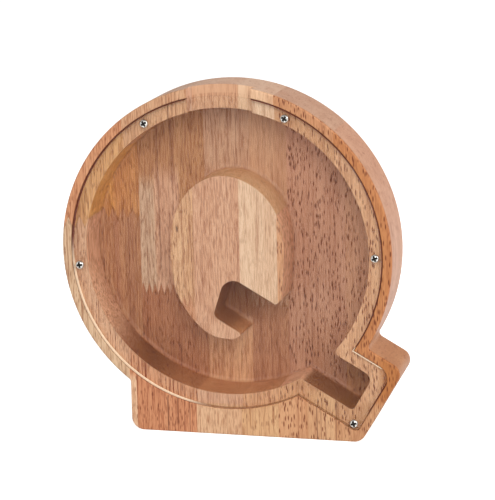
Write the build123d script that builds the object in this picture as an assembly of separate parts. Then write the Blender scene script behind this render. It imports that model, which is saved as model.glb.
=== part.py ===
"""Wooden money box shaped like a capital letter Q, with a screwed-on clear window.

Frame: millimetres, +X to the right seen from the front, +Y towards the back, +Z up.
The origin lies on the resting face of the foot, straight below the centre of the ring and
half way through the thickness of the block.
"""

import os
from math import cos, radians, sin, sqrt

from build123d import *

# Block
THICKNESS = 38.0
FRONT = -THICKNESS / 2
BACK = THICKNESS / 2
RING_R = 104.0
CENTRE_Z = 115.0
FRONT_EASE = 1.0
BACK_EASE = 2.0

# Foot, seen from the front
FOOT_LEFT = -62.7
FOOT_CORNER_R = 8.0
FOOT_THROAT_R = 2.5

# Window rebate and the ledge behind it
REBATE_DEPTH = 3.0
LEDGE_Y = FRONT + REBATE_DEPTH
REBATE_R = 98.3
REBATE_EASE = 0.4
EDGE_GAP = 0.3
BED_GAP = 0.05
WINDOW_EASE = 0.3

# Coin pocket
POCKET_R = 89.5
FLOOR_T = 6.5
FLOOR_Y = BACK - FLOOR_T
COVE_R = 2.5

# Tail: a bar sloping down to the right, measured along and square to its own length
TAIL_SLOPE = 30.0
TAIL_START = 40.0
TAIL_TOP = -3.8
TAIL_END = 130.3
TAIL_CORNER_R = 7.0
TAIL_THROAT_R = 3.0
REBATE_TAIL = (-9.2, -53.4, 125.4)
REBATE_TAIL_R = (9.5, 3.5)
POCKET_TAIL = (-18.4, -43.8, 116.0)
POCKET_TAIL_R = (5.0, 2.8)
POCKET_THROAT_R = (3.0, 1.0)

# Island that fills the counter of the letter, with the hook of the tail cut out of it.
# The curve is drawn anticlockwise from the tip of the hook, about the ring's centre.
ISLAND_CURVE = [
    (34.6, -28.0),
    (36.5, -8.0),
    (35.2, 17.0),
    (27.6, 33.6),
    (14.4, 44.4),
    (1.0, 48.2),
    (-13.4, 45.2),
    (-26.0, 34.0),
    (-33.4, 17.0),
    (-34.9, -3.0),
    (-31.6, -25.0),
    (-19.2, -45.0),
    (-6.0, -53.2),
    (2.0, -54.0),
    (7.4, -52.4),
]
HOOK_TOP = (6.2, -11.2)
HOOK_BOTTOM = (12.3, -39.2)
HOOK_REACH = 80.0
HOOK_TOP_R = 8.7
HOOK_BOTTOM_R = 4.1
ISLAND_TIP_R = 1.6

# Coin slot, cut into the front of the rim and through the ledge
SLOT_LEFT = -22.0
SLOT_RIGHT = 18.7
SLOT_BACK_Y = FRONT + 8.0
SLOT_FOOT = 80.0

# Screws
SCREW_CIRCLE_R = 93.6
SCREW_ANGLES = {
    "screw_right": 0.7,
    "screw_top_right": 65.1,
    "screw_top_left": 121.2,
    "screw_left": 186.0,
}
SCREW_TAIL_ALONG = 120.6
SCREW_TAIL_ACROSS = -49.3
HEAD_R = 2.6
HEAD_H = 1.7
HEAD_CROWN = [(0.45, 1.0), (0.82, 0.72), (1.0, 0.3)]
SHANK_R = 1.45
SHANK_L = 12.0
POINT_L = 3.0
CROSS_L = 2.9
CROSS_W = 0.75
CROSS_DEPTH = 1.1
WINDOW_HOLE_R = 1.7
PILOT_R = SHANK_R + 0.05
PILOT_DEPTH = SHANK_L - REBATE_DEPTH + 1.0

# Staves: glue lines run up the block; some staves are two lengths joined by cut fingers
GLUE_LINES = [-120.0, -63.0, -20.0, 9.0, 32.5, 69.0, 130.0]
STAVES = ["left_stave", "mid_left_stave", "centre_stave", "mid_right_stave", "right_stave", "tail_stave"]
FINGER_JOINT_Z = {"left_stave": 17.0, "mid_left_stave": -31.0, "mid_right_stave": -37.0}
FINGER_PITCH = {"left_stave": 3.2, "mid_left_stave": 2.0, "mid_right_stave": 2.0}
FINGER_L = 7.5
REACH = 140.0

# How far cuts run past the faces that they open, and the depth band that finds the edges of a face
PAST = 1.0
SLOT_PAST = 5.0
HAIR = 0.01


def tail_point(along, across):
    """Point on the front plane from distances along and square to the tail, about the ring's centre."""
    slope = radians(TAIL_SLOPE)
    return (cos(slope) * along + sin(slope) * across, -sin(slope) * along + cos(slope) * across)


def corner_near(face, point):
    """Vertex of a flat face nearest to a point."""
    return face.vertices().sort_by_distance(Vector(*point))[0]


def round_corner(face, point, radius):
    """Round the corner of a flat face nearest to a point."""
    return fillet(corner_near(face, point), radius)


def polygon(points):
    """Flat face with straight edges through the points."""
    return make_face(Polyline(*points, close=True))


def slab(face, y_front, y_back):
    """Solid between two depths, with a face drawn about the ring's centre as its outline."""
    plane = Plane.XZ.offset(-y_front).shift_origin((0, y_front, CENTRE_Z))
    return extrude(plane * face, amount=y_front - y_back)


def tail_bar(top, bottom, end, radii):
    """Sloping bar of the tail with its two end corners rounded."""
    corners = [(TAIL_START, bottom), (end, bottom), (end, top), (TAIL_START, top)]
    bar = polygon([tail_point(*corner) for corner in corners])
    bar = round_corner(bar, tail_point(end, top), radii[0])
    return round_corner(bar, tail_point(end, bottom), radii[1])


def throat(radius, across):
    """Point where a ring of a given radius meets a line along the tail."""
    return tail_point(sqrt(radius**2 - across**2), across)


def block_outline():
    """Ring, foot and tail as one outline."""
    slope = radians(TAIL_SLOPE)
    foot_right = (TAIL_END - sin(slope) * CENTRE_Z) / cos(slope)
    base = polygon(
        [
            (FOOT_LEFT, 0),
            (FOOT_LEFT, -CENTRE_Z),
            (foot_right, -CENTRE_Z),
            tail_point(TAIL_END, TAIL_TOP),
            tail_point(TAIL_START, TAIL_TOP),
        ]
    )
    outline = Circle(RING_R) + base
    outline = round_corner(outline, (FOOT_LEFT, -CENTRE_Z), FOOT_CORNER_R)
    outline = round_corner(outline, (foot_right, -CENTRE_Z), FOOT_CORNER_R)
    outline = round_corner(outline, tail_point(TAIL_END, TAIL_TOP), TAIL_CORNER_R)
    foot_throat = (FOOT_LEFT, -sqrt(RING_R**2 - FOOT_LEFT**2))
    outline = round_corner(outline, foot_throat, FOOT_THROAT_R)
    return round_corner(outline, throat(RING_R, TAIL_TOP), TAIL_THROAT_R)


def rebate_outline(gap):
    """Outline of the window's seat, drawn in by a gap for the window itself."""
    top, bottom, end = REBATE_TAIL
    radii = [radius - gap for radius in REBATE_TAIL_R]
    return Circle(REBATE_R - gap) + tail_bar(top - gap, bottom + gap, end - gap, radii)


def pocket_outline():
    """Outline of the coin pocket without its island."""
    outline = Circle(POCKET_R) + tail_bar(*POCKET_TAIL, POCKET_TAIL_R)
    for across, radius in zip(POCKET_TAIL[:2], POCKET_THROAT_R):
        outline = round_corner(outline, throat(POCKET_R, across), radius)
    return outline


def island_outline():
    """Counter of the letter with the hook of the tail cut into its lower right."""
    curve = Spline(*ISLAND_CURVE, tangents=[(0.1, 1.0), (0.9, 0.45)])
    counter = make_face(Curve() + [curve, Line(ISLAND_CURVE[-1], ISLAND_CURVE[0])])
    top = tail_point(*HOOK_TOP)
    bottom = tail_point(*HOOK_BOTTOM)
    far_top = tail_point(HOOK_REACH, HOOK_TOP[1])
    far_bottom = tail_point(HOOK_REACH, HOOK_BOTTOM[1])
    hook = polygon([top, bottom, far_bottom, far_top])
    hook = round_corner(hook, top, HOOK_TOP_R)
    hook = round_corner(hook, bottom, HOOK_BOTTOM_R)
    island = counter - hook
    for tip in (ISLAND_CURVE[0], ISLAND_CURVE[-1]):
        lowest = island.vertices().sort_by_distance(Vector(*tip))[1]
        island = fillet(lowest, ISLAND_TIP_R)
    return island


def edges_at(solid, depth):
    """Edges of a solid that lie in the plane at a depth."""
    return solid.edges().filter_by_position(Axis.Y, depth - HAIR, depth + HAIR)


def pocket_cutter():
    """Space routed out of the block: the pocket around the island, coved where it meets the floor."""
    cutter = slab(pocket_outline() - island_outline(), FRONT - PAST, FLOOR_Y)
    return fillet(edges_at(cutter, FLOOR_Y), COVE_R)


def rebate_lip(solid):
    """Front edges of the window's rebate."""
    front_face = solid.faces().filter_by(Axis.Y).sort_by(Axis.Y)[0]
    return [edge for wire in front_face.inner_wires() for edge in wire.edges()]


def screw_places():
    """Centre of every screw on the front plane, about the ring's centre."""
    places = {}
    for name, angle in SCREW_ANGLES.items():
        turn = radians(angle)
        places[name] = (SCREW_CIRCLE_R * cos(turn), SCREW_CIRCLE_R * sin(turn))
    places["screw_tail"] = tail_point(SCREW_TAIL_ALONG, SCREW_TAIL_ACROSS)
    return places


def round_slab(place, radius, y_front, y_back):
    """Cylinder between two depths, centred on a place on the front plane."""
    return slab(Pos(*place) * Circle(radius), y_front, y_back)


def block():
    """Whole wooden block, before it is divided into its staves."""
    solid = slab(block_outline(), FRONT, BACK)
    solid = fillet(edges_at(solid, FRONT), FRONT_EASE)
    solid = fillet(edges_at(solid, BACK), BACK_EASE)
    solid -= slab(rebate_outline(0), FRONT - PAST, LEDGE_Y)
    solid -= pocket_cutter()
    solid = chamfer(rebate_lip(solid), REBATE_EASE)
    slot_front = FRONT - PAST
    slot_foot = CENTRE_Z + SLOT_FOOT
    slot_top = CENTRE_Z + RING_R + SLOT_PAST
    slot = Box(SLOT_RIGHT - SLOT_LEFT, SLOT_BACK_Y - slot_front, slot_top - slot_foot)
    slot_middle = ((SLOT_LEFT + SLOT_RIGHT) / 2, (SLOT_BACK_Y + slot_front) / 2)
    solid -= Pos(*slot_middle, (slot_top + slot_foot) / 2) * slot
    for place in screw_places().values():
        solid -= round_slab(place, PILOT_R, FRONT, LEDGE_Y + PILOT_DEPTH)
    return solid


def finger_line(left, right, height, pitch):
    """Zigzag of cut fingers across a stave, centred on a height."""
    count = round((right - left) / pitch)
    step = (right - left) / count
    points = [(left, height)]
    for finger in range(count):
        tip = left + (finger + 0.5) * step
        up = FINGER_L / 2 if finger % 2 == 0 else -FINGER_L / 2
        points.append((tip, height + up))
    points.append((right, height))
    return points


def stave_regions():
    """Outline of every piece of wood on the front plane, by node name."""
    regions = {}
    for name, left, right in zip(STAVES, GLUE_LINES[:-1], GLUE_LINES[1:]):
        if name not in FINGER_JOINT_Z:
            regions[name] = [(left, -REACH), (right, -REACH), (right, REACH), (left, REACH)]
            continue
        joint = finger_line(left, right, FINGER_JOINT_Z[name], FINGER_PITCH[name])
        regions[name + "_lower"] = [(right, -REACH), (left, -REACH)] + joint
        regions[name + "_upper"] = [(right, REACH), (left, REACH)] + joint
    return regions


def staves():
    """Wooden pieces of the block, by node name."""
    whole = block()
    pieces = {}
    for name, points in stave_regions().items():
        pieces[name] = whole & slab(polygon(points), FRONT - PAST, BACK + PAST)
    return pieces


def window():
    """Clear plate that closes the pocket, with a hole for every screw."""
    back = LEDGE_Y - BED_GAP
    plate = slab(rebate_outline(EDGE_GAP), FRONT, back)
    plate = chamfer(edges_at(plate, FRONT) + edges_at(plate, back), WINDOW_EASE)
    for place in screw_places().values():
        plate -= round_slab(place, WINDOW_HOLE_R, FRONT - PAST, LEDGE_Y + PAST)
    return plate


def screw(place):
    """Pan-head wood screw with a cross recess, its head on the face of the window."""
    head_face = -HEAD_H
    shank_end = SHANK_L - POINT_L
    profile = Polyline(
        (0, head_face),
        *[(HEAD_R * across, head_face * up) for across, up in HEAD_CROWN],
        (HEAD_R, 0),
        (SHANK_R, 0),
        (SHANK_R, shank_end),
        (0, SHANK_L),
        close=True,
    )
    turned = revolve(Plane.XY * make_face(profile), Axis.Y, 360)
    bar = Box(CROSS_L, CROSS_DEPTH, CROSS_W)
    cross = bar + Rot(0, 90, 0) * bar
    turned -= Pos(0, head_face + CROSS_DEPTH / 2, 0) * cross
    return Pos(place[0], FRONT, CENTRE_Z + place[1]) * turned


def main():
    """Build every piece and write it to its own file."""
    pieces = staves()
    pieces["window"] = window()
    for name, place in screw_places().items():
        pieces[name] = screw(place)
    os.makedirs("parts", exist_ok=True)
    for name, piece in pieces.items():
        export_step(piece, f"parts/{name}.step")


main()
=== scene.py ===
"""Looks of a wooden money box shaped like a capital letter: wood, clear window and screws.

Lengths in the finishes are millimetres, measured across the front, back from its middle
plane, and up from the centre of the ring. Meshes are in metres, in the frame of the part.
"""

import logging
import math
from dataclasses import dataclass, field
from enum import Enum

import bpy
import numpy as np
from mathutils import Matrix, Vector

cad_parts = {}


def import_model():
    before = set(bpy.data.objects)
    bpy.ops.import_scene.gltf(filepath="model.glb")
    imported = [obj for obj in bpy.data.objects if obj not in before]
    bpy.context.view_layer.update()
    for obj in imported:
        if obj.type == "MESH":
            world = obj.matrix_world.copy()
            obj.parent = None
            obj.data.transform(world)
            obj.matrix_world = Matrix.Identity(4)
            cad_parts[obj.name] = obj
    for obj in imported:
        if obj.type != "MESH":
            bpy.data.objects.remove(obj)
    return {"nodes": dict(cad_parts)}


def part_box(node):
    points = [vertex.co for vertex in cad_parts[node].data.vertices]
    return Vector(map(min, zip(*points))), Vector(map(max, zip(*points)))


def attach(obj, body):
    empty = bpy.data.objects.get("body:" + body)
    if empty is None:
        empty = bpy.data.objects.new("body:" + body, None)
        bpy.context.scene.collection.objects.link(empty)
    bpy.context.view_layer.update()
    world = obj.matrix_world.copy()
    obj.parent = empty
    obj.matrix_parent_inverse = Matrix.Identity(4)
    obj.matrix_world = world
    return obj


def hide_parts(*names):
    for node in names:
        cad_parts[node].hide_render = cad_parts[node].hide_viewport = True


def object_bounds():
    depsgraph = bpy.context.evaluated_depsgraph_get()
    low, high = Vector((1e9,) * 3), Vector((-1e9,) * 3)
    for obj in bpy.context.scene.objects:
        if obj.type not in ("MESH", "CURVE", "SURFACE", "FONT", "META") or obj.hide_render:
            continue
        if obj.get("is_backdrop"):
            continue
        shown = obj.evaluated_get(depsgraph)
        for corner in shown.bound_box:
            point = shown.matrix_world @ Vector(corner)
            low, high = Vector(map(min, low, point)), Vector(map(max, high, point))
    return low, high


LOG = logging.getLogger("money_box")

MM = 0.001
RING_CENTRE_HEIGHT = 115.0
FRONT_FACE = -19.0
POCKET_FLOOR = 12.5
COIN_SLOT = (-22.0, 18.7)


# ---------------------------------------------------------------------------
# Colours and finishes
# ---------------------------------------------------------------------------


@dataclass(frozen=True)
class Tone:
    """A colour as a painter mixes it, each part from 0 to 255."""

    red: float
    green: float
    blue: float

    def linear(self, strength: float = 1.0) -> tuple[float, float, float, float]:
        """Turn the colour into light.

        Args:
            strength: Factor on the light it gives back.

        Returns:
            Red, green, blue and an opaque fourth part, for a colour socket.
        """
        parts = []
        for part in (self.red, self.green, self.blue):
            share = part / 255.0
            low = share / 12.92
            high = ((share + 0.055) / 1.055) ** 2.4
            parts.append(strength * (low if share <= 0.04045 else high))
        return (parts[0], parts[1], parts[2], 1.0)


class Reach(Enum):
    """How deep in the block a local tone lies, as the depths where it starts and ends."""

    FRONT = (-40.0, -15.5)
    FLOOR = (POCKET_FLOOR - 2.0, POCKET_FLOOR + 1.5)
    INSIDE = (-15.5, POCKET_FLOOR + 1.5)
    WALL = (-15.5, POCKET_FLOOR - 2.0)
    # depth of the coin slot's back wall, which gets painted light
    SLOT = (-12.0, -10.0)
    OUTER = (-17.8, 17.0)


@dataclass(frozen=True)
class Band:
    """A local tone, the wood's own or painted light and shade: a stretch of a stave's width and
    height, with soft sides.
    """

    left: float
    right: float
    tone: Tone
    strength: float = 1.0
    low: float = -200.0
    high: float = 200.0
    side: float = 0.6
    end: float = 3.0
    reach: Reach = Reach.FRONT


@dataclass(frozen=True)
class FingerJoint:
    """Zigzag joint between two lengths of a stave: its height, sides and number of fingers."""

    height: float
    left: float
    right: float
    fingers: int
    length: float = 7.5


@dataclass(frozen=True)
class WoodFinish:
    """Tones, figure, fibres, streaks and pores of one piece of wood; its face tones also carry
    painted light and shade.
    """

    name: str
    rim: Tone
    ledge: Tone
    wall: Tone
    floor: Tone
    side: Tone
    seed: float
    figure_width: float = 7.0
    figure: float = 0.5
    fibre: float = 0.68
    streaks: float = 0.35
    streak_width: float = 1.9
    pores: float = 0.55
    pore_width: float = 1.1
    pore_length: float = 5.0
    pore_share: float = 0.6
    wander: float = 3.0
    joint: FingerJoint | None = None
    bands: tuple[Band, ...] = ()


FIGURE_TONE = Tone(232, 214, 202)
FIBRE_TONE = Tone(192, 156, 130)
STREAK_TONE = Tone(176, 124, 92)
PORE_TONE = Tone(150, 104, 78)
# painted shade in the gap round the window
GAP_SHADE_TONE = Tone(96, 50, 28)
# painted highlight on the pocket's lip
EDGE_HIGHLIGHT_TONE = Tone(246, 214, 178)

# Size of a lump of noise across, back and up the grain
DRIFT_SIZE = (26.0, 30.0, 95.0)
FIBRE_SIZE = (0.85, 1.0, 11.0)

LEFT_JOINT = FingerJoint(17.0, -120.0, -63.0, 18)
MID_LEFT_JOINT = FingerJoint(-31.0, -63.0, -20.0, 22)
MID_RIGHT_JOINT = FingerJoint(-37.0, 9.0, 32.5, 12)

# Each stave's faces get their own tones, set lighter or darker for the light each face gets:
# painted light and shade over the wood's colour.
WOODS = {
    "left_stave_upper": WoodFinish(
        name="wood_golden",
        rim=Tone(214, 154, 112),
        ledge=Tone(220, 168, 114),
        # light wall tone: painted light on the pocket's left wall
        wall=Tone(244, 190, 108),
        floor=Tone(210, 150, 93),
        side=Tone(222, 180, 146),
        seed=11.0,
        joint=LEFT_JOINT,
        bands=(Band(-84, -80, Tone(236, 178, 96), 0.6, side=1.5, reach=Reach.INSIDE),),
    ),
    "left_stave_lower": WoodFinish(
        name="wood_rose",
        rim=Tone(218, 184, 148),
        ledge=Tone(218, 172, 138),
        wall=Tone(244, 196, 160),
        floor=Tone(194, 140, 99),
        side=Tone(214, 170, 140),
        seed=23.0,
        streaks=0.6,
        streak_width=1.3,
        joint=LEFT_JOINT,
        bands=(
            Band(-72, -67, Tone(172, 116, 84), 0.55, -60, 16, 1.2, reach=Reach.FLOOR),
            Band(-80, -77, Tone(176, 118, 90), 0.5, -60, 14, 1.0, reach=Reach.FLOOR),
            # darker lower-left pocket wall: partly the wood's own tone, partly painted shade
            Band(-72, -50, Tone(160, 102, 62), 0.9, -90, -30, 9.0, 12.0, Reach.WALL),
        ),
    ),
    "mid_left_stave_upper": WoodFinish(
        name="wood_tan",
        rim=Tone(212, 166, 128),
        ledge=Tone(220, 174, 134),
        wall=Tone(232, 184, 140),
        floor=Tone(196, 144, 99),
        side=Tone(214, 174, 146),
        seed=37.0,
        joint=MID_LEFT_JOINT,
        bands=(
            Band(-64, -53, Tone(218, 188, 160), 0.85, -60, 38, 0.8, 7.0, Reach.FLOOR),
            Band(-53, -37, Tone(226, 182, 152), 0.85, -60, 44, 1.2, 8.0, Reach.FLOOR),
            Band(-50.6, -49.6, Tone(150, 98, 70), 0.7, -18, 82, 0.5, 8.0, Reach.FLOOR),
            Band(-41.5, -39.5, Tone(160, 104, 74), 0.5, 36, 78, 0.8, 6.0, Reach.FLOOR),
            Band(-34.6, -33.9, Tone(130, 80, 52), 0.75, 82, 98, 0.3, 1.5, Reach.FRONT),
            Band(-31.1, -30.1, Tone(96, 56, 34), 0.9, 12.5, 16, 0.3, 0.8, Reach.FRONT),
        ),
    ),
    "mid_left_stave_lower": WoodFinish(
        name="wood_streaked",
        rim=Tone(208, 142, 100),
        ledge=Tone(214, 158, 120),
        wall=Tone(186, 126, 82),
        floor=Tone(184, 124, 86),
        side=Tone(206, 152, 116),
        seed=41.0,
        streaks=1.0,
        streak_width=1.3,
        pores=0.7,
        joint=MID_LEFT_JOINT,
        bands=(
            Band(-66, -58.3, Tone(236, 194, 156), 0.95, -120, -80, 0.4, 3.0, Reach.FRONT),
            # darker lower-left pocket wall: partly the wood's own tone, partly painted shade
            Band(-64, -43, Tone(144, 88, 46), 0.95, -120, -50, 12.0, 3.0, Reach.WALL),
            Band(-39.6, -38.9, Tone(110, 60, 36), 0.8, -120, -92, 0.3, 2.0, Reach.FRONT),
            Band(-33.0, -32.4, Tone(110, 60, 36), 0.6, -110, -90, 0.3, 2.0, Reach.FRONT),
            Band(-25.0, -24.4, Tone(120, 66, 40), 0.6, -120, -90, 0.3, 2.0, Reach.FRONT),
        ),
    ),
    "centre_stave": WoodFinish(
        name="wood_pink",
        rim=Tone(218, 172, 138),
        ledge=Tone(220, 172, 140),
        wall=Tone(206, 144, 96),
        floor=Tone(206, 163, 131),
        side=Tone(216, 176, 148),
        seed=53.0,
        pores=0.35,
        bands=(
            Band(-22, 10, Tone(224, 180, 140), 0.9, -130, -96, 1.0, 1.0, Reach.FRONT),
            Band(-22, 10, Tone(218, 164, 120), 0.8, -100, -50, 1.0, 12.0, Reach.FLOOR),
            Band(-0.4, 0.4, Tone(176, 128, 92), 0.4, -130, -94, 0.2, 1.0, Reach.FRONT),
            # painted light on the island's top wall
            Band(-22, 10, Tone(236, 192, 144), 0.9, 20, 60, 1.0, 5.0, Reach.WALL),
            # painted shade in the hook gap
            Band(-22, 10, Tone(154, 98, 60), 0.9, -47, -6, 1.0, 3.0, Reach.INSIDE),
            # painted light on the coin slot's back wall
            Band(-23, 10, Tone(216, 168, 132), 1.0, 86, 120, 0.3, 2.0, Reach.SLOT),
        ),
    ),
    "mid_right_stave_upper": WoodFinish(
        name="wood_pale",
        rim=Tone(226, 184, 146),
        ledge=Tone(232, 196, 164),
        wall=Tone(232, 188, 142),
        floor=Tone(204, 156, 120),
        side=Tone(216, 178, 150),
        seed=67.0,
        fibre=0.4,
        pores=0.25,
        joint=MID_RIGHT_JOINT,
        bands=(
            # painted shade in the hook gap
            Band(8, 14, Tone(150, 100, 66), 0.4, -47, -12, 4.0, 3.0, Reach.INSIDE),
            # painted light on the coin slot's back wall
            Band(8, 20, Tone(228, 188, 152), 1.0, 80, 120, 0.3, 2.0, Reach.SLOT),
        ),
    ),
    "mid_right_stave_lower": WoodFinish(
        name="wood_biscuit",
        rim=Tone(220, 174, 128),
        ledge=Tone(220, 168, 126),
        wall=Tone(214, 152, 104),
        floor=Tone(186, 130, 94),
        side=Tone(212, 168, 132),
        seed=71.0,
        joint=MID_RIGHT_JOINT,
        # painted shade in the hook gap
        bands=(Band(8, 14, Tone(150, 100, 66), 0.4, -50, -12, 4.0, 3.0, Reach.INSIDE),),
    ),
    "right_stave": WoodFinish(
        name="wood_flecked",
        rim=Tone(202, 144, 100),
        ledge=Tone(208, 156, 114),
        # light wall tone: painted light on the island's right wall
        wall=Tone(246, 192, 154),
        floor=Tone(200, 148, 118),
        side=Tone(200, 156, 128),
        seed=83.0,
        fibre=0.45,
        pores=0.95,
        pore_width=1.25,
        pore_length=5.5,
        pore_share=0.95,
        bands=(
            Band(30, 40, Tone(222, 166, 124), 0.7, -60, 40, 1.0, 8.0, Reach.FRONT),
            Band(40, 70, Tone(176, 120, 86), 0.7, -110, -50, 10.0, 16.0, Reach.FLOOR),
            # painted shade on the tail pocket's lower wall
            Band(48, 70, Tone(160, 102, 56), 0.95, -110, -62, 2.0, 3.0, Reach.WALL),
            Band(32, 50, Tone(220, 168, 124), 0.8, -130, -84, 1.5, 2.0, Reach.FRONT),
            Band(51, 68, Tone(220, 174, 130), 0.8, -130, -84, 1.0, 2.0, Reach.FRONT),
            Band(56.4, 57.0, Tone(120, 70, 44), 0.8, -130, -90, 0.3, 2.0, Reach.FRONT),
            Band(58.9, 59.4, Tone(130, 76, 48), 0.7, -130, -90, 0.3, 2.0, Reach.FRONT),
            Band(61.8, 62.3, Tone(130, 76, 48), 0.6, -130, -92, 0.3, 2.0, Reach.FRONT),
            Band(44.5, 45.2, Tone(150, 84, 50), 0.6, -130, -86, 0.3, 2.0, Reach.FRONT),
            Band(68.5, 69.4, Tone(96, 54, 34), 0.45, -130, -84, 0.15, 2.0, Reach.FRONT),
        ),
    ),
    "tail_stave": WoodFinish(
        name="wood_freckled",
        rim=Tone(196, 130, 78),
        ledge=Tone(222, 172, 132),
        # dark wall tone: painted shade in the narrow tail pocket
        wall=Tone(164, 106, 58),
        floor=Tone(204, 152, 118),
        side=Tone(204, 154, 124),
        seed=97.0,
        fibre=0.45,
        pores=0.9,
        pore_width=1.25,
        pore_length=5.5,
        pore_share=0.9,
        bands=(
            Band(96, 125, Tone(180, 112, 50), 0.7, -90, -58, 3.0, 6.0, Reach.FRONT),
            Band(68, 130, Tone(208, 158, 116), 0.8, -130, -90, 0.5, 4.0, Reach.FRONT),
            Band(66, 125, Tone(186, 128, 84), 0.9, -110, -52, 4.0, 8.0, Reach.FLOOR),
            Band(66, 130, Tone(186, 130, 88), 0.9, -110, -46, 1.0, 4.0, Reach.OUTER),
        ),
    ),
}


# ---------------------------------------------------------------------------
# Shader bench
# ---------------------------------------------------------------------------


class Field:
    """A number that changes over a surface: the output of a node, with arithmetic."""

    def __init__(self, bench: "Bench", socket: bpy.types.NodeSocket) -> None:
        """Keep the socket and the bench whose nodes take it further.

        Args:
            bench: Bench of the material.
            socket: Output that gives the number.
        """
        self.bench = bench
        self.socket = socket

    def __add__(self, other: "Field | float") -> "Field":
        """Sum."""
        return self.bench.math("ADD", self, other)

    __radd__ = __add__

    def __sub__(self, other: "Field | float") -> "Field":
        """Difference."""
        return self.bench.math("SUBTRACT", self, other)

    def __rsub__(self, other: float) -> "Field":
        """Difference from a plain number."""
        return self.bench.math("SUBTRACT", other, self)

    def __mul__(self, other: "Field | float") -> "Field":
        """Product."""
        return self.bench.math("MULTIPLY", self, other)

    __rmul__ = __mul__

    def __truediv__(self, other: "Field | float") -> "Field":
        """Quotient."""
        return self.bench.math("DIVIDE", self, other)

    def __pow__(self, other: "Field | float") -> "Field":
        """Power."""
        return self.bench.math("POWER", self, other)

    def __abs__(self) -> "Field":
        """Size without sign."""
        return self.bench.math("ABSOLUTE", self)


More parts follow.
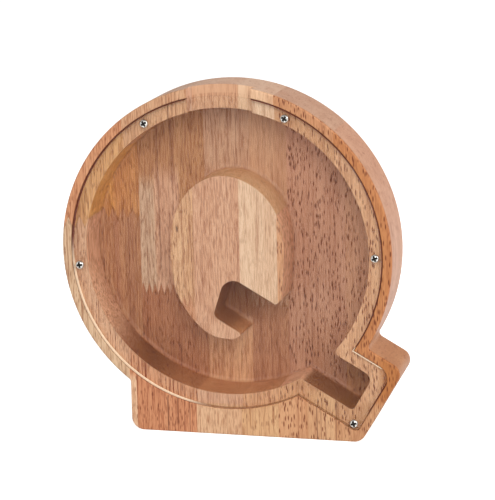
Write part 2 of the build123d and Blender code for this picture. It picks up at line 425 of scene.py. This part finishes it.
class Bench:
    """Lays out the nodes of one material."""

    def __init__(self, name: str) -> None:
        """Start an empty material.

        Args:
            name: Name of the material.
        """
        self.material = bpy.data.materials.new(name)
        self.material.use_nodes = True
        self.tree = self.material.node_tree
        self.tree.nodes.clear()

    def node(self, kind: str, settings: dict, inputs: dict) -> bpy.types.Node:
        """Add any node: its settings first, then the values or links of its sockets.

        Args:
            kind: Type of the node, such as "ShaderNodeTexNoise".
            settings: Values of the node's own settings, by name.
            inputs: Values or links of its inputs, by socket name or number.

        Returns:
            The new node.
        """
        made = self.tree.nodes.new(kind)
        for name, value in settings.items():
            setattr(made, name, value)
        for key, value in inputs.items():
            socket = made.inputs[key]
            if isinstance(value, Field):
                value = value.socket
            if isinstance(value, bpy.types.NodeSocket):
                self.tree.links.new(value, socket)
            else:
                socket.default_value = value
        return made

    def field(self, kind: str, settings: dict, inputs: dict, output: int | str = 0) -> Field:
        """Add a node and take one of its outputs as a number.

        Args:
            kind: Type of the node.
            settings: Values of the node's own settings.
            inputs: Values or links of its inputs.
            output: Name or number of the output.

        Returns:
            The output as a field.
        """
        return Field(self, self.node(kind, settings, inputs).outputs[output])

    def math(self, operation: str, *terms: "Field | float") -> Field:
        """Work out one operation on numbers.

        Args:
            operation: Name of the Math node's operation.
            terms: Its terms in order.

        Returns:
            The result.
        """
        return self.field("ShaderNodeMath", {"operation": operation}, dict(enumerate(terms)))

    def least(self, a: Field, b: "Field | float") -> Field:
        """Lesser of two numbers."""
        return self.math("MINIMUM", a, b)

    def most(self, a: Field, b: "Field | float") -> Field:
        """Greater of two numbers."""
        return self.math("MAXIMUM", a, b)

    def step(self, value: Field, start: float, stop: float) -> Field:
        """Soft step: 0 before start, 1 after stop, with a smooth rise; falls if stop is less.

        Args:
            value: Number to step on.
            start: Where the result is 0.
            stop: Where the result is 1.

        Returns:
            A field from 0 to 1.
        """
        settings = {"interpolation_type": "SMOOTHSTEP"}
        if start <= stop:
            return self.field(
                "ShaderNodeMapRange", settings, {"Value": value, 1: start, 2: stop}
            )
        return self.field(
            "ShaderNodeMapRange", settings, {"Value": value, 1: stop, 2: start, 3: 1.0, 4: 0.0}
        )

    def between(self, value: Field, low: float, high: float, edge: float) -> Field:
        """Window: 1 between low and high, falling to 0 over an edge each side.

        Args:
            value: Number to test.
            low: Lower limit.
            high: Upper limit.
            edge: Half width of each soft side.

        Returns:
            A field from 0 to 1.
        """
        rise = self.step(value, low - edge, low + edge)
        return rise * self.step(value, high + edge, high - edge)

    def place(self) -> tuple[Field, Field, Field]:
        """Read where a point lies.

        Returns:
            Distances across the front, back from the middle plane and up from the ring's centre.
        """
        inputs = {
            0: self.node("ShaderNodeTexCoord", {}, {}).outputs["Object"],
            1: (1.0 / MM,) * 3,
            2: (0.0, 0.0, -RING_CENTRE_HEIGHT),
        }
        scaled = self.node("ShaderNodeVectorMath", {"operation": "MULTIPLY_ADD"}, inputs)
        parts = self.node("ShaderNodeSeparateXYZ", {}, {0: scaled.outputs[0]})
        return tuple(Field(self, output) for output in parts.outputs)

    def triple(self, x: "Field | float", y: "Field | float", z: "Field | float") -> Field:
        """Put three numbers together as a place."""
        return self.field("ShaderNodeCombineXYZ", {}, {0: x, 1: y, 2: z})

    def noise(
        self,
        place: Field,
        size: tuple[float, float, float],
        seed: float,
        detail: float = 2.0,
        roughness: float = 0.5,
    ) -> Field:
        """Cloudy noise whose lumps have a given size.

        Args:
            place: Place in millimetres.
            size: Size of a lump along each axis, in millimetres.
            seed: Shift that makes one piece differ from the next.
            detail: How many finer layers are added.
            roughness: How strong the finer layers are.

        Returns:
            A field about 0.5.
        """
        scaled = self.node(
            "ShaderNodeVectorMath",
            {"operation": "MULTIPLY_ADD"},
            {0: place, 1: tuple(1.0 / s for s in size), 2: (seed, seed * 1.7, seed * 0.3)},
        ).outputs[0]
        inputs = {"Vector": scaled, "Scale": 1.0, "Detail": detail, "Roughness": roughness}
        return self.field("ShaderNodeTexNoise", {"noise_dimensions": "3D"}, inputs)

    def cells(
        self, place: Field, size: tuple[float, float, float], seed: float
    ) -> tuple[Field, Field]:
        """Scattered points, as cells around them.

        Args:
            place: Place in millimetres.
            size: Mean distance between the points along each axis, in millimetres.
            seed: Shift that makes one piece differ from the next.

        Returns:
            Distance to the nearest point in cell sizes, and a random number for its cell.
        """
        scaled = self.node(
            "ShaderNodeVectorMath",
            {"operation": "MULTIPLY_ADD"},
            {0: place, 1: tuple(1.0 / s for s in size), 2: (seed, seed * 1.3, seed * 0.7)},
        ).outputs[0]
        made = self.node(
            "ShaderNodeTexVoronoi",
            {"voronoi_dimensions": "3D", "feature": "F1"},
            {"Vector": scaled, "Scale": 1.0, "Randomness": 1.0},
        )
        parts = self.node("ShaderNodeSeparateColor", {}, {0: made.outputs["Color"]})
        return Field(self, made.outputs["Distance"]), Field(self, parts.outputs[0])

    def blend(
        self,
        factor: "Field | float",
        under: "Field | tuple",
        over: "Field | tuple",
        how: str = "MIX",
    ) -> Field:
        """Lay one colour over another.

        Args:
            factor: How much of the upper colour shows.
            under: Lower colour.
            over: Upper colour.
            how: Blend type of the Mix node.

        Returns:
            The blended colour.
        """
        settings = {"data_type": "RGBA", "blend_type": how}
        return self.field("ShaderNodeMix", settings, {0: factor, 6: under, 7: over}, 2)

    def output(self, surface: bpy.types.NodeSocket) -> bpy.types.Material:
        """Join a shader to the material's output.

        Args:
            surface: Shader socket.

        Returns:
            The finished material.
        """
        self.node("ShaderNodeOutputMaterial", {}, {"Surface": surface})
        return self.material


# ---------------------------------------------------------------------------
# Wood
# ---------------------------------------------------------------------------


@dataclass
class WoodShop:
    """Makes the wood of each stave, from finishes and the places of the block's faces."""

    ring_radius: float = 98.3
    gap: float = 0.3
    tail_slope: float = 30.0
    rebate_top: float = -9.2
    rebate_bottom: float = -53.4
    rebate_end: float = 125.4
    rebate_corner: float = 6.0
    pocket_inset: tuple[float, float] = (-8.2, -8.7)
    outline_band: tuple[float, float] = (0.3, 0.8)
    face_band: tuple[float, float] = (-17.0, -17.6)
    ledge_front: tuple[float, float] = (-18.6, -18.0)
    ledge_back: tuple[float, float] = (-15.4, -15.9)
    back_band: tuple[float, float] = (15.0, 14.0)
    cove_band: tuple[float, float] = (8.5, 12.0)
    side_span: tuple[float, float] = (-17.7, 17.0)

    def window_edge(self, bench: Bench, x: Field, z: Field) -> Field:
        """Distance to the outline of the window's rebate: a disc joined to a round-ended bar.

        Args:
            bench: Bench of the material.
            x: Distance across the front.
            z: Height above the centre of the ring.

        Returns:
            Millimetres, negative inside the outline.
        """
        slope = math.radians(self.tail_slope)
        ring = bench.math("SQRT", x * x + z * z) - self.ring_radius
        along = x * math.cos(slope) - z * math.sin(slope)
        across = x * math.sin(slope) + z * math.cos(slope)
        middle = (self.rebate_top + self.rebate_bottom) / 2
        half = (self.rebate_top - self.rebate_bottom) / 2 - self.rebate_corner
        side = abs(across - middle) - half
        end = bench.most(along - (self.rebate_end - self.rebate_corner), 0.0 - along)
        past_side, past_end = bench.most(side, 0.0), bench.most(end, 0.0)
        beyond = bench.math("SQRT", past_side * past_side + past_end * past_end)
        bar = beyond + bench.least(bench.most(side, end), 0.0) - self.rebate_corner
        return bench.least(ring, bar)

    def underside(self, bench: Bench, x: Field, z: Field) -> Field:
        """Lower edge of the window, where light from above reaches the gap.

        Args:
            bench: Bench of the material.
            x: Distance across the front.
            z: Height above the centre of the ring.

        Returns:
            1 along the foot and the lower side of the tail, 0 elsewhere.
        """
        return bench.step(z + 0.3 * x, -66.0, -73.0)

    def joint_line(self, bench: Bench, joint: FingerJoint, x: Field, z: Field) -> Field:
        """Dark line of a finger joint: nearness to a triangle wave across the stave.

        Args:
            bench: Bench of the material.
            joint: The joint.
            x: Distance across the front.
            z: Height above the centre of the ring.

        Returns:
            1 at the tips of the fingers, less along their sides, 0 elsewhere.
        """
        step = (joint.right - joint.left) / joint.fingers
        turns = bench.math("FRACT", ((x - joint.left) / step + 0.5) / 2)
        wave = 1.0 - abs(turns - 0.5) * 4.0
        away = abs(z - joint.height - wave * (joint.length / 2))
        tips = bench.step(abs(wave), 0.55, 0.95)
        return bench.step(away, 1.0, 0.3) * (0.35 + tips * 0.65)

    def face_tones(self, bench: Bench, finish: WoodFinish, y: Field, edge: Field) -> Field:
        """Lay down each face's tone, with painted light and shade: side, front, ledge, pocket
        wall and floor.

        Args:
            bench: Bench of the material.
            finish: Finish of the stave.
            y: Distance back from the middle plane.
            edge: Distance to the window's outline.

        Returns:
            The colour.
        """
        inside = bench.step(edge, *self.pocket_inset)
        front = bench.step(y, *self.face_band)
        colour = bench.blend(front, finish.side.linear(), finish.rim.linear())
        on_ledge = bench.step(edge, 0.2, 0.0) * bench.step(y, *self.ledge_back)
        on_ledge = on_ledge * bench.step(y, *self.ledge_front)
        colour = bench.blend(on_ledge, colour, finish.ledge.linear())
        deep = inside * bench.step(y, *reversed(self.ledge_back)) * bench.step(y, *self.back_band)
        colour = bench.blend(deep, colour, finish.wall.linear())
        low_down = inside * bench.step(y, *self.cove_band) * bench.step(y, *self.back_band)
        return bench.blend(low_down, colour, finish.floor.linear())

    def reach_mask(self, bench: Bench, reach: Reach, y: Field, edge: Field) -> Field:
        """Find where a local tone reaches.

        Args:
            bench: Bench of the material.
            reach: How deep the tone lies.
            y: Distance back from the middle plane.
            edge: Distance to the window's outline.

        Returns:
            A field from 0 to 1.
        """
        depth = bench.between(y, *reach.value, 0.2)
        beyond = bench.step(edge, *self.outline_band)
        if reach is Reach.FRONT:
            return bench.most(depth, beyond)
        if reach is Reach.OUTER:
            return depth * beyond
        if reach is Reach.SLOT:
            return depth
        return depth * bench.step(edge, *self.pocket_inset)

    def gap_shade(self, bench: Bench, x: Field, y: Field, z: Field, edge: Field) -> Field:
        """Painted shade: a dark line in the gap round the window, weaker along its lower edge.

        Args:
            bench: Bench of the material.
            x: Distance across the front.
            y: Distance back from the middle plane.
            z: Height above the centre of the ring.
            edge: Distance to the window's outline.

        Returns:
            A field from 0 to 1.
        """
        line = bench.step(abs(edge + self.gap / 2), self.gap * 1.2, self.gap * 0.6)
        line = line * bench.step(y, -18.7, -18.3) * bench.step(y, -15.2, -15.8)
        return line * (1.0 - self.underside(bench, x, z) * 0.7)

    def dress(self, finish: WoodFinish) -> bpy.types.Material:
        """Make the material of one stave: tones, then figure, fibres, streaks, pores, lines and
        painted highlight and shade.

        Args:
            finish: Its finish.

        Returns:
            The material.
        """
        bench = Bench(finish.name)
        x, y, z = bench.place()
        drift = bench.noise(bench.triple(x, y, z), DRIFT_SIZE, finish.seed, 1.0) - 0.5
        across = x + drift * finish.wander
        grain = bench.triple(across, y, z)
        edge = self.window_edge(bench, x, z)
        outside = bench.between(y, *self.side_span, 0.3) * bench.step(edge, *self.outline_band)

        colour = self.face_tones(bench, finish, y, edge)
        for band in finish.bands:
            mask = bench.between(across, band.left, band.right, band.side) * band.strength
            mask = mask * bench.between(z, band.low, band.high, band.end)
            mask = mask * self.reach_mask(bench, band.reach, y, edge)
            colour = bench.blend(mask, colour, band.tone.linear())

        width = finish.figure_width
        figure = bench.noise(grain, (width, width * 1.6, 140.0), finish.seed + 3.0, 2.0)
        figure = bench.step(figure, 0.3, 0.7) * finish.figure
        colour = bench.blend(figure, colour, FIGURE_TONE.linear(), "MULTIPLY")
        fibre = bench.noise(grain, FIBRE_SIZE, finish.seed + 7.0, 3.0, 0.7)
        fibre = bench.step(fibre, 0.44, 0.62) * (1.0 - outside * 0.7)
        colour = bench.blend(fibre * finish.fibre, colour, FIBRE_TONE.linear(), "MULTIPLY")
        width = finish.streak_width
        streak = bench.noise(grain, (width, width * 2.5, 90.0), finish.seed + 13.0, 3.0, 0.65)
        streak = bench.step(streak, 0.55, 0.66)
        colour = bench.blend(streak * finish.streaks, colour, STREAK_TONE.linear(), "MULTIPLY")
        size = (finish.pore_width, finish.pore_width, finish.pore_length)
        distance, chance = bench.cells(grain, size, finish.seed + 17.0)
        rare = 1.0 - finish.pore_share
        pore = bench.step(distance, 0.42, 0.2) * bench.step(chance, rare, rare + 0.2)
        pore = pore * (1.0 - outside * 0.75)
        colour = bench.blend(pore * finish.pores, colour, PORE_TONE.linear(), "MULTIPLY")

        if finish.joint:
            line = self.joint_line(bench, finish.joint, x, z)
            colour = bench.blend(line * 0.55, colour, PORE_TONE.linear(), "MULTIPLY")
        # painted highlight: a thin pale line along the pocket's lip, where an eased edge would
        # catch light
        edge_highlight = bench.step(edge, *self.pocket_inset)
        edge_highlight = edge_highlight * bench.step(y, -16.0, -15.8) * bench.step(y, -15.1, -15.5)
        colour = bench.blend(edge_highlight * 0.45, colour, EDGE_HIGHLIGHT_TONE.linear())
        # painted shade: dark line in the window's gap, lighter where light from above reaches it
        gap_shade = self.gap_shade(bench, x, y, z, edge)
        colour = bench.blend(gap_shade * 0.7, colour, GAP_SHADE_TONE.linear())

        height = fibre * -0.35 - pore * 0.8 - streak * 0.2
        relief = {"Strength": 0.25, "Distance": 0.15 * MM, "Height": height}
        wood = bench.node(
            "ShaderNodeBsdfPrincipled",
            {},
            {
                "Base Color": colour,
                "Roughness": 0.5 + fibre * 0.1 + pore * 0.15,
                "Specular IOR Level": 0.4,
                "Normal": bench.node("ShaderNodeBump", {}, relief).outputs[0],
            },
        )
        return bench.output(wood.outputs[0])


@dataclass
class Block:
    """The wooden block: staves glued side by side, some of two lengths."""

    shop: WoodShop

    def build(self, nodes: dict[str, bpy.types.Object]) -> None:
        """Give every stave its wood.

        Args:
            nodes: The part's own nodes by name.
        """
        for name, finish in WOODS.items():
            material = self.shop.dress(finish)
            nodes[name].data.materials.clear()
            nodes[name].data.materials.append(material)
            LOG.info("%s dressed in %s", name, finish.name)


# ---------------------------------------------------------------------------
# Window
# ---------------------------------------------------------------------------


@dataclass
class Window:
    """Clear plate over the pocket."""

    shop: WoodShop
    node_name: str = "window"
    # Cut edge: painted shade for the dark gap line, softer painted shade along the lower edge,
    # and a painted highlight
    shade: Tone = Tone(108, 38, 16)
    soft_shade: Tone = Tone(176, 124, 84)
    glint: Tone = Tone(250, 226, 196)
    body: Tone = Tone(253, 253, 252)
    head_on: float = 0.006
    slant: float = 0.45
    polish: float = 0.04
    edge_polish: float = 0.35
    edge_band: tuple[float, float] = (-0.5, -0.3)
    edge_strength: float = 0.92
    lit_side: tuple[float, float] = (-0.766, -0.643)

    def clear_plastic(self, bench: Bench) -> bpy.types.NodeSocket:
        """Make the faces of the plate: they let light through and shine more at a slant.

        Args:
            bench: Bench of the material.

        Returns:
            The shader's socket.
        """
        facing = bench.field("ShaderNodeLayerWeight", {}, {"Blend": 0.5}, "Facing")
        shine = self.head_on + self.slant * facing**5.0
        inputs = {"Color": self.body.linear()}
        through = bench.node("ShaderNodeBsdfTransparent", {}, inputs).outputs[0]
        inputs = {"Color": (1.0, 1.0, 1.0, 1.0), "Roughness": self.polish}
        gloss = bench.node("ShaderNodeBsdfAnisotropic", {}, inputs).outputs[0]
        return bench.node("ShaderNodeMixShader", {}, {0: shine, 1: through, 2: gloss}).outputs[0]

    def lit_edge(self, bench: Bench, x: Field, z: Field) -> Field:
        """Find where the cut edge gets a painted highlight: at the lower left and along the
        tail's top.

        Args:
            bench: Bench of the material.
            x: Distance across the front.
            z: Height above the centre of the ring.

        Returns:
            A field from 0 to 1.
        """
        lower_left = (x * self.lit_side[0] + z * self.lit_side[1]) / self.shop.ring_radius
        tail_top = bench.step(x, 76.0, 79.0) * bench.step(z, -54.0, -56.0)
        tail_top = tail_top * bench.step(z, -78.0, -70.0) * bench.step(x - z, 176.0, 168.0)
        return bench.most(bench.step(lower_left, 0.7, 0.84), tail_top)

    def material(self) -> bpy.types.Material:
        """Make the plate's plastic: clear faces, with a cut edge painted with shade and a
        highlight.

        Returns:
            The material.
        """
        bench = Bench("clear_acrylic")
        x, y, z = bench.place()
        edge = self.shop.window_edge(bench, x, z) + self.shop.gap
        bright = self.lit_edge(bench, x, z)
        under = self.shop.underside(bench, x, z) * (1.0 - bright)
        over_slot = bench.between(x, *COIN_SLOT, 0.5) * bench.step(z, 70.0, 75.0)
        # painted shade and painted highlight on the cut edge
        tone = bench.blend(under, self.shade.linear(), self.soft_shade.linear())
        tone = bench.blend(bright, tone, self.glint.linear())
        inputs = {"Base Color": tone, "Roughness": self.edge_polish}
        cut = bench.node("ShaderNodeBsdfPrincipled", {}, inputs).outputs[0]
        solid = bench.step(edge, *self.edge_band) * (self.edge_strength - under * 0.5)
        solid = solid * (1.0 - over_slot * 0.95)
        inputs = {0: solid, 1: self.clear_plastic(bench), 2: cut}
        return bench.output(bench.node("ShaderNodeMixShader", {}, inputs).outputs[0])

    def build(self, nodes: dict[str, bpy.types.Object]) -> None:
        """Dress the plate.

        Args:
            nodes: The part's own nodes by name.
        """
        plate = nodes[self.node_name].data
        plate.materials.clear()
        plate.materials.append(self.material())
        LOG.info("%s dressed in clear plastic", self.node_name)


# ---------------------------------------------------------------------------
# Screws
# ---------------------------------------------------------------------------


def eased(value: np.ndarray) -> np.ndarray:
    """Ease each number from 0 to 1: 3 t^2 - 2 t^3, with t held between 0 and 1.

    Args:
        value: Numbers of any size.

    Returns:
        The eased numbers.
    """
    held = np.clip(value, 0.0, 1.0)
    return held**2 * (3.0 - 2.0 * held)


@dataclass
class Screws:
    """Pan-head wood screws with a cross recess and a rolled thread."""

    turns: dict[str, float] = field(
        default_factory=lambda: {
            "screw_top_left": 32.0,
            "screw_top_right": 58.0,
            "screw_left": 8.0,
            "screw_right": 24.0,
            "screw_tail": 15.0,
        }
    )
    round_steps: int = 120
    flat_share: float = 0.74
    shoulder: float = 0.14
    shank_radius: float = 1.32
    shank_steps: int = 150
    point_length: float = 3.0
    recess_reach: float = 0.72
    recess_width: float = 0.24
    recess_depth: float = 1.05
    thread_pitch: float = 1.1
    thread_depth: float = 0.4

    def profile(
        self, radius: float, head_height: float, length: float
    ) -> tuple[np.ndarray, np.ndarray, int, int]:
        """Work out the half outline of a screw, from the middle of the head to the point.

        The head's top is a dome, (1 - r^3.4) ^ (1/2) high; under it come a flat seat and a
        shank whose radius falls to nothing over the length of the point.

        Args:
            radius: Radius of the head.
            head_height: Height of the head above its seat.
            length: Length of the shank.

        Returns:
            Radii, depths from the seat, how many points lie on the head's top and how many
            before the thread starts.
        """
        flat = np.linspace(0.0, self.flat_share * radius, 44)
        bends = np.linspace(math.asin(self.flat_share), math.pi / 2, 18)[1:]
        top = np.concatenate([flat, radius * np.sin(bends)])
        dome = -head_height * (1 - (top / radius) ** 3.4) ** 0.5
        seat = np.array([radius * 0.985, radius * 0.75, self.shank_radius])
        seat_depth = [0.12, self.shoulder, self.shoulder]
        down = np.linspace(0.05, length, self.shank_steps)
        taper = np.clip((length - down) / self.point_length, 0.0, 1.0)
        shank_depth = self.shoulder + down * (length - self.shoulder) / length
        radii = np.concatenate([top, seat, self.shank_radius * taper**0.7])
        depths = np.concatenate([dome, seat_depth, shank_depth])
        return radii, depths, len(top), len(top) + len(seat)

    def cross(self, along: np.ndarray, aside: np.ndarray, radius: float) -> np.ndarray:
        """Cross of the recess: the greater of two soft-sided bars at right angles.

        Args:
            along: Distance along one bar.
            aside: Distance along the other bar.
            radius: Radius of the head.

        Returns:
            1 in the cross, 0 outside it.
        """
        reach, half = self.recess_reach * radius, self.recess_width * radius
        bars = [
            eased((half + 0.1 - abs(b)) / 0.2) * eased((reach + 0.15 - abs(a)) / 0.4)
            for a, b in ((along, aside), (aside, along))
        ]
        return np.maximum(*bars)

    def mesh(self, name: str, low: Vector, high: Vector, turn: float) -> bpy.types.Mesh:
        """Work out one screw as a profile turned about its axis, as whole arrays.

        The head's top is sunk by the cross, deeper towards the middle. The shank's radius
        follows a ridge that climbs one pitch a turn.

        Args:
            name: Name of the mesh.
            low: Lowest corner of the screw's box.
            high: Highest corner of the screw's box.
            turn: Turn of the cross, in degrees.

        Returns:
            The mesh.
        """
        radius = (high.x - low.x) / 2 / MM
        centre = ((low.x + high.x) / 2 / MM, (low.z + high.z) / 2 / MM)
        radii, depths, top_count, thread_start = self.profile(
            radius, FRONT_FACE - low.y / MM, high.y / MM - FRONT_FACE
        )
        angle = np.linspace(0, 2 * math.pi, self.round_steps, endpoint=False)
        r, around = np.meshgrid(radii, angle, indexing="ij")
        row = np.arange(len(radii))[:, None]
        local = around - math.radians(turn)
        sunk = (row < top_count) * self.cross(r * np.cos(local), r * np.sin(local), radius)
        slope = 1 - 0.3 * r / (self.recess_reach * radius)
        y = depths[:, None] + sunk * self.recess_depth * slope

        climb = np.mod(y / self.thread_pitch - around / (2 * math.pi), 1.0)
        ridge = np.clip(1 - abs(climb - 0.5) * 4.0, 0, 1) ** 0.8
        groove = self.thread_depth * (1 - ridge) * (row >= thread_start) * (r / self.shank_radius)
        r = np.maximum(r - groove, 0.0)
        x, z = centre[0] + r * np.cos(around), centre[1] + r * np.sin(around)
        points = np.stack([x, FRONT_FACE + y, z], axis=-1).reshape(-1, 3) * MM

        rows, columns = r.shape
        index = np.arange(rows * columns).reshape(rows, columns)
        ahead = np.roll(index, -1, axis=1)
        quads = np.stack([index[2:], ahead[2:], ahead[1:-1], index[1:-1]], axis=-1)
        cap = np.stack([index[1], ahead[1], np.zeros(columns, int)], axis=-1)
        spare = columns - 1
        faces = [np.where(f > 0, f - spare, 0) for f in (quads.reshape(-1, 4), cap)]
        faces = faces[0].tolist() + faces[1].tolist()

        mesh = bpy.data.meshes.new(name)
        mesh.from_pydata(np.delete(points, np.arange(1, columns), axis=0).tolist(), [], faces)
        mark = mesh.attributes.new("recess", "FLOAT", "POINT")
        kept = np.delete(sunk.reshape(-1), np.arange(1, columns)).astype(np.float32)
        mark.data.foreach_set("value", kept)
        mesh.polygons.foreach_set("use_smooth", np.ones(len(faces), bool))
        return mesh

    def plated_steel(self) -> bpy.types.Material:
        """Make the plated steel: bright, mottled a little, dull in the recess, with painted shade
        darkening it.

        Returns:
            The material.
        """
        bench = Bench("screw_steel")
        place = bench.node("ShaderNodeTexCoord", {}, {}).outputs["Object"]
        inputs = {0: place, "Scale": 1.0 / MM}
        here = bench.field("ShaderNodeVectorMath", {"operation": "SCALE"}, inputs)
        grime = bench.noise(here, (0.5, 0.5, 0.5), 5.0, 3.0, 0.6)
        sunk = bench.field("ShaderNodeAttribute", {"attribute_name": "recess"}, {}, "Fac")
        recess_shade = bench.step(sunk, 0.25, 0.8)
        bright, dull, dark = Tone(208, 206, 200), Tone(140, 134, 126), Tone(26, 22, 20)
        mottle = bench.step(grime, 0.45, 0.7) * 0.35
        colour = bench.blend(mottle, bright.linear(), dull.linear())
        # painted shade: the cross recess darkened almost to black
        colour = bench.blend(recess_shade * 0.97, colour, dark.linear())
        rough = 0.2 + grime * 0.14 + recess_shade * 0.3
        inputs = {"Base Color": colour, "Metallic": 1.0, "Roughness": rough}
        return bench.output(bench.node("ShaderNodeBsdfPrincipled", {}, inputs).outputs[0])

    def build(self) -> None:
        """Build every screw in place of its plain solid."""
        steel = self.plated_steel()
        for name, turn in self.turns.items():
            low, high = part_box(name)
            mesh = self.mesh(name + "_turned", low, high, turn)
            mesh.materials.append(steel)
            piece = bpy.data.objects.new(name + "_turned", mesh)
            bpy.context.scene.collection.objects.link(piece)
            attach(piece, name)
            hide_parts(name)
            LOG.info("%s built, %d faces", piece.name, len(mesh.polygons))


# ---------------------------------------------------------------------------
# Studio
# ---------------------------------------------------------------------------


@dataclass
class Studio:
    """Pale floor, soft white light all round, and large soft lamps in front and on both sides."""

    floor_half: float = 12.0
    floor_grey: float = 0.93
    floor_glow: float = 0.6
    surround: float = 0.5
    key_power: float = 22.0
    key_size: float = 1.1
    key_place: tuple[float, float, float] = (0.55, -1.7, 0.95)
    left_power: float = 5.0
    left_place: tuple[float, float, float] = (-1.3, -1.1, 0.7)
    right_power: float = 16.0
    right_place: tuple[float, float, float] = (1.7, -0.3, 0.8)
    fill_size: float = 1.0

    def floor(self) -> None:
        """Lay the floor."""
        h = self.floor_half
        mesh = bpy.data.meshes.new("studio_floor")
        mesh.from_pydata([(-h, -h, 0), (h, -h, 0), (h, h, 0), (-h, h, 0)], [], [(0, 1, 2, 3)])
        bench = Bench("floor_white")
        paint = bench.node(
            "ShaderNodeBsdfPrincipled",
            {},
            {
                "Base Color": (self.floor_grey, self.floor_grey, self.floor_grey, 1.0),
                "Roughness": 0.8,
                "Specular IOR Level": 0.1,
                "Emission Color": (1.0, 1.0, 1.0, 1.0),
                "Emission Strength": self.floor_glow,
            },
        )
        mesh.materials.append(bench.output(paint.outputs[0]))
        plane = bpy.data.objects.new("studio_floor", mesh)
        plane.visible_diffuse = False
        bpy.context.scene.collection.objects.link(plane)
        plane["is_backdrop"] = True

    def lamp(
        self, name: str, power: float, size: float, place: tuple[float, float, float], aim: Vector
    ) -> None:
        """Hang one soft lamp.

        Args:
            name: Name of the lamp.
            power: Power in watts.
            size: Side of its square face in metres.
            place: Where it hangs, from the point that it faces.
            aim: Point that it faces.
        """
        data = bpy.data.lights.new(name, "AREA")
        data.energy = power
        data.shape = "SQUARE"
        data.size = size
        lamp = bpy.data.objects.new(name, data)
        lamp.location = aim + Vector(place)
        lamp.rotation_euler = (-Vector(place)).to_track_quat("-Z", "Y").to_euler()
        bpy.context.scene.collection.objects.link(lamp)

    def build(self, centre: Vector) -> None:
        """Light the scene.

        Args:
            centre: Middle of the object.
        """
        world = bpy.data.worlds.new("studio_white")
        world.use_nodes = True
        background = world.node_tree.nodes["Background"]
        background.inputs["Color"].default_value = (1.0, 1.0, 1.0, 1.0)
        background.inputs["Strength"].default_value = self.surround
        scene = bpy.context.scene
        scene.world = world
        scene.view_settings.view_transform = "Standard"
        self.floor()
        self.lamp("key", self.key_power, self.key_size, self.key_place, centre)
        self.lamp("left_fill", self.left_power, self.fill_size, self.left_place, centre)
        self.lamp("right_fill", self.right_power, self.fill_size, self.right_place, centre)


@dataclass
class Viewpoint:
    """Camera to the right of the front and a little above it."""

    azimuth: float = 14.65
    elevation: float = 12.92
    roll: float = -1.24
    distance: float = 1.30008
    lens: float = 153.906
    sensor_width: float = 36.0
    target: tuple[float, float, float] = (0.01487, -0.019, 0.11854)

    def build(self) -> None:
        """Set up the camera: it looks back along a line given by two angles, then rolls."""
        turn, lift = math.radians(self.azimuth), math.radians(self.elevation)
        roll = math.radians(self.roll)
        level = math.cos(lift)
        back = Vector((math.sin(turn) * level, -math.cos(turn) * level, math.sin(lift)))
        right = (-back).cross(Vector((0, 0, 1))).normalized()
        up = right.cross(-back)
        rolled_right = right * math.cos(roll) + up * math.sin(roll)
        rolled_up = up * math.cos(roll) - right * math.sin(roll)
        data = bpy.data.cameras.new("camera")
        data.lens = self.lens
        data.sensor_width = self.sensor_width
        camera = bpy.data.objects.new("camera", data)
        axes = Matrix((rolled_right, rolled_up, back)).transposed()
        place = Vector(self.target) + back * self.distance
        camera.matrix_world = Matrix.Translation(place) @ axes.to_4x4()
        bpy.context.scene.collection.objects.link(camera)
        bpy.context.scene.camera = camera


def main() -> None:
    """Build the money box and its studio."""
    logging.basicConfig(level=logging.INFO, format="%(message)s")
    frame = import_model()
    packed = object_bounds()
    nodes = frame["nodes"]
    shop = WoodShop()
    Block(shop).build(nodes)
    Window(shop).build(nodes)
    Screws().build()
    Studio().build((packed[0] + packed[1]) / 2)
    Viewpoint().build()


if __name__ == "__main__":
    main()
